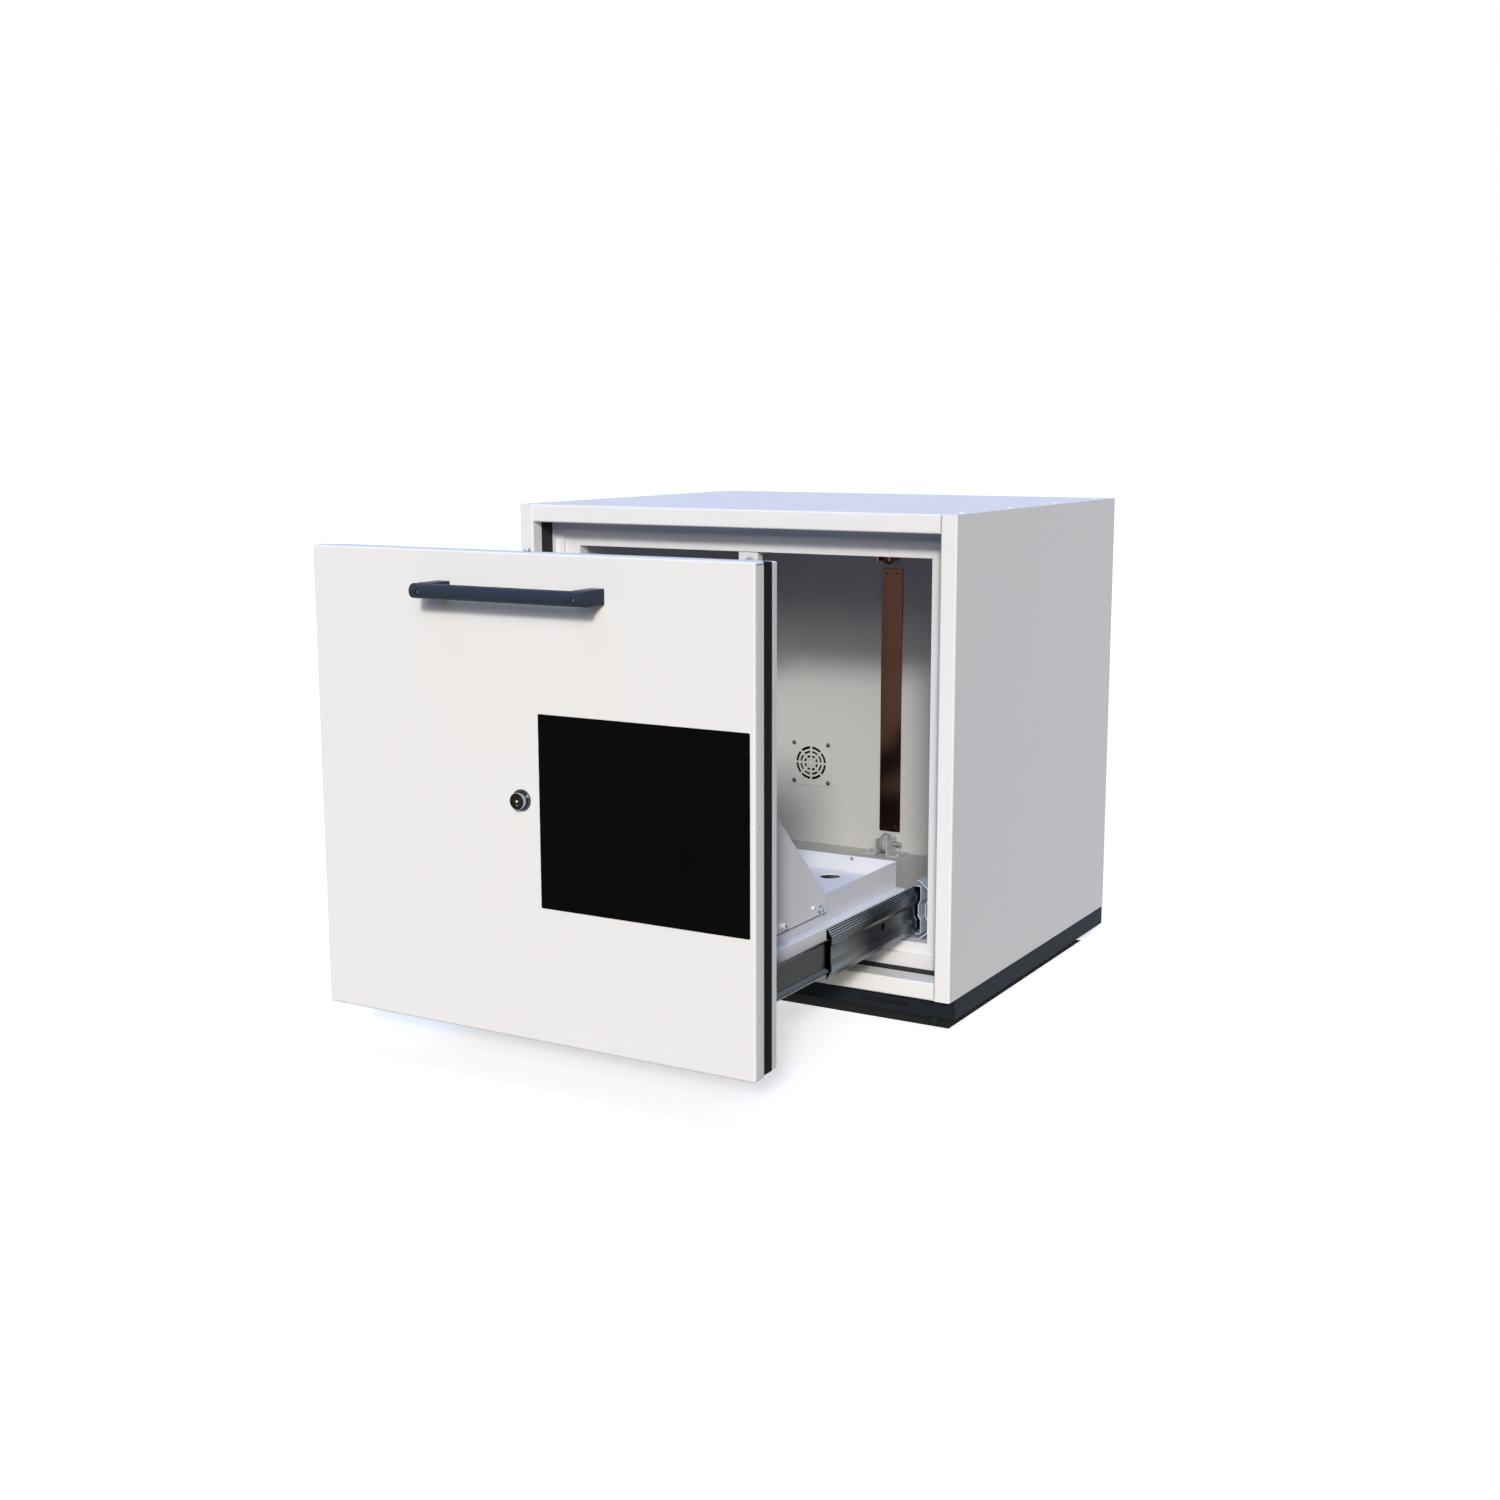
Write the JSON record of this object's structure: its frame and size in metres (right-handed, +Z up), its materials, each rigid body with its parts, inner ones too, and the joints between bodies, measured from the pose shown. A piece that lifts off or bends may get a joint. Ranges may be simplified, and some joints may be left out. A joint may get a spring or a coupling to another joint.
{
  "type": "underbench safety cabinet",
  "caption": "Low insulated safety cabinet with a full-front pull-out tray on telescopic slides, bar handle, cylinder lock, vented back wall, plinth and levelling feet.",
  "frame": {"origin": "on the floor, under the middle of the plan of the whole object with the pull-out open and its handle included", "axes": "+X to the cabinet's right as seen from its front, +Y from the pull-out front towards the back, +Z up"},
  "size_m": [0.6, 0.9692, 0.6018],
  "materials": {
    "white_paint": "smooth semi-gloss powder coat",
    "grey_paint": "satin powder coat",
    "plinth_paint": "satin anthracite powder coat",
    "handle_paint": "satin anthracite powder coat",
    "foot_plastic": "moulded, matt",
    "seal": "matt black expanding seal",
    "insulation": "raw insulating board",
    "frame_board": "white laminated board, satin",
    "zinc": "bright zinc plate",
    "chrome": "polished",
    "copper": "polished copper tone"
  },
  "bodies": {
    "carcass": {"side_panel_left": "white_paint", "side_panel_right": "white_paint", "top_panel": "white_paint", "bottom_panel": "white_paint", "rear_panel": "white_paint", "seal_strip_left": "seal", "seal_strip_right": "seal", "seal_strip_top": "seal", "seal_strip_bottom": "seal", "inner_frame": "frame_board", "keeper_block": "white_paint", "insulation_left": "insulation", "insulation_right": "insulation", "insulation_bottom": "insulation", "insulation_top": "insulation", "insulation_rear": "insulation", "liner_left": "grey_paint", "liner_right": "grey_paint", "liner_floor": "grey_paint", "liner_ceiling": "grey_paint", "liner_back": "grey_paint", "exhaust_duct": "zinc", "vent_grille": "grey_paint", "cover_strip": "copper", "lower_pulley_bracket_left": "zinc", "lower_pulley_bracket_right": "zinc", "lower_pulley_axle": "chrome", "upper_pulley_bracket": "copper", "upper_pulley_axle": "chrome", "plinth_front": "plinth_paint", "plinth_frame": "plinth_paint", "slide_outer_left": "zinc", "slide_outer_right": "zinc"},
    "drawer": {"slide_inner_left": "zinc", "slide_inner_right": "zinc", "ledge_rail_left": "white_paint", "ledge_rail_right": "white_paint", "tray": "white_paint", "tray_insert": "white_paint", "gusset_left": "white_paint", "gusset_right": "white_paint", "front_shell": "white_paint", "front_core": "insulation", "rod_guide": "zinc", "front_seal": "seal", "front_rear_panel": "white_paint", "handle_bar": "handle_paint", "handle_post_left": "handle_paint", "handle_post_right": "handle_paint", "lock_barrel": "chrome"},
    "middle_slide_left": {"slide_middle_left": "zinc"},
    "middle_slide_right": {"slide_middle_right": "zinc"},
    "key_plug": {"lock_plug": "chrome"},
    "bolt_rod": {"lock_rod": "chrome"},
    "lower_wheel": {"lower_pulley": "zinc"},
    "upper_wheel": {"upper_pulley": "copper"},
    "front_left_foot": {"foot_front_left": "foot_plastic"},
    "front_right_foot": {"foot_front_right": "foot_plastic"},
    "rear_left_foot": {"foot_rear_left": "foot_plastic"},
    "rear_right_foot": {"foot_rear_right": "foot_plastic"}
  },
  "joints": [
    {"name": "drawer_slide", "type": "slide", "parent": "carcass", "child": "drawer", "axis": [0, 1, 0], "range_m": [0, 0.4056]},
    {"name": "middle_slide_left_run", "type": "slide", "parent": "carcass", "child": "middle_slide_left", "axis": [0, 1, 0], "range_m": [0, 0.2235]},
    {"name": "middle_slide_right_run", "type": "slide", "parent": "carcass", "child": "middle_slide_right", "axis": [0, 1, 0], "range_m": [0, 0.2235]},
    {"name": "lock_turn", "type": "hinge", "parent": "drawer", "child": "key_plug", "pos_m": [-0.002, -0.44095, 0.3193], "axis": [0, -1, 0], "range_deg": [0, 90]},
    {"name": "rod_lift", "type": "slide", "parent": "drawer", "child": "bolt_rod", "axis": [0, 0, 1], "range_m": [0, 0.01]},
    {"name": "lower_pulley_spin", "type": "hinge", "parent": "carcass", "child": "lower_wheel", "pos_m": [-0.006, 0.42465, 0.1055], "axis": [1, 0, 0], "continuous": true},
    {"name": "upper_pulley_spin", "type": "hinge", "parent": "carcass", "child": "upper_wheel", "pos_m": [-0.006, 0.42465, 0.5182], "axis": [1, 0, 0], "continuous": true},
    {"name": "front_left_foot_level", "type": "slide", "parent": "carcass", "child": "front_left_foot", "axis": [0, 0, -1], "range_m": [0, 0.015]},
    {"name": "front_right_foot_level", "type": "slide", "parent": "carcass", "child": "front_right_foot", "axis": [0, 0, -1], "range_m": [0, 0.015]},
    {"name": "rear_left_foot_level", "type": "slide", "parent": "carcass", "child": "rear_left_foot", "axis": [0, 0, -1], "range_m": [0, 0.015]},
    {"name": "rear_right_foot_level", "type": "slide", "parent": "carcass", "child": "rear_right_foot", "axis": [0, 0, -1], "range_m": [0, 0.015]}
  ],
  "couplings": [
    {"joint": "middle_slide_left_run", "follows": "drawer_slide", "ratio": 0.55},
    {"joint": "middle_slide_right_run", "follows": "drawer_slide", "ratio": 0.55},
    {"joint": "lock_turn", "follows": "rod_lift", "rad_per_m": 157}
  ]
}
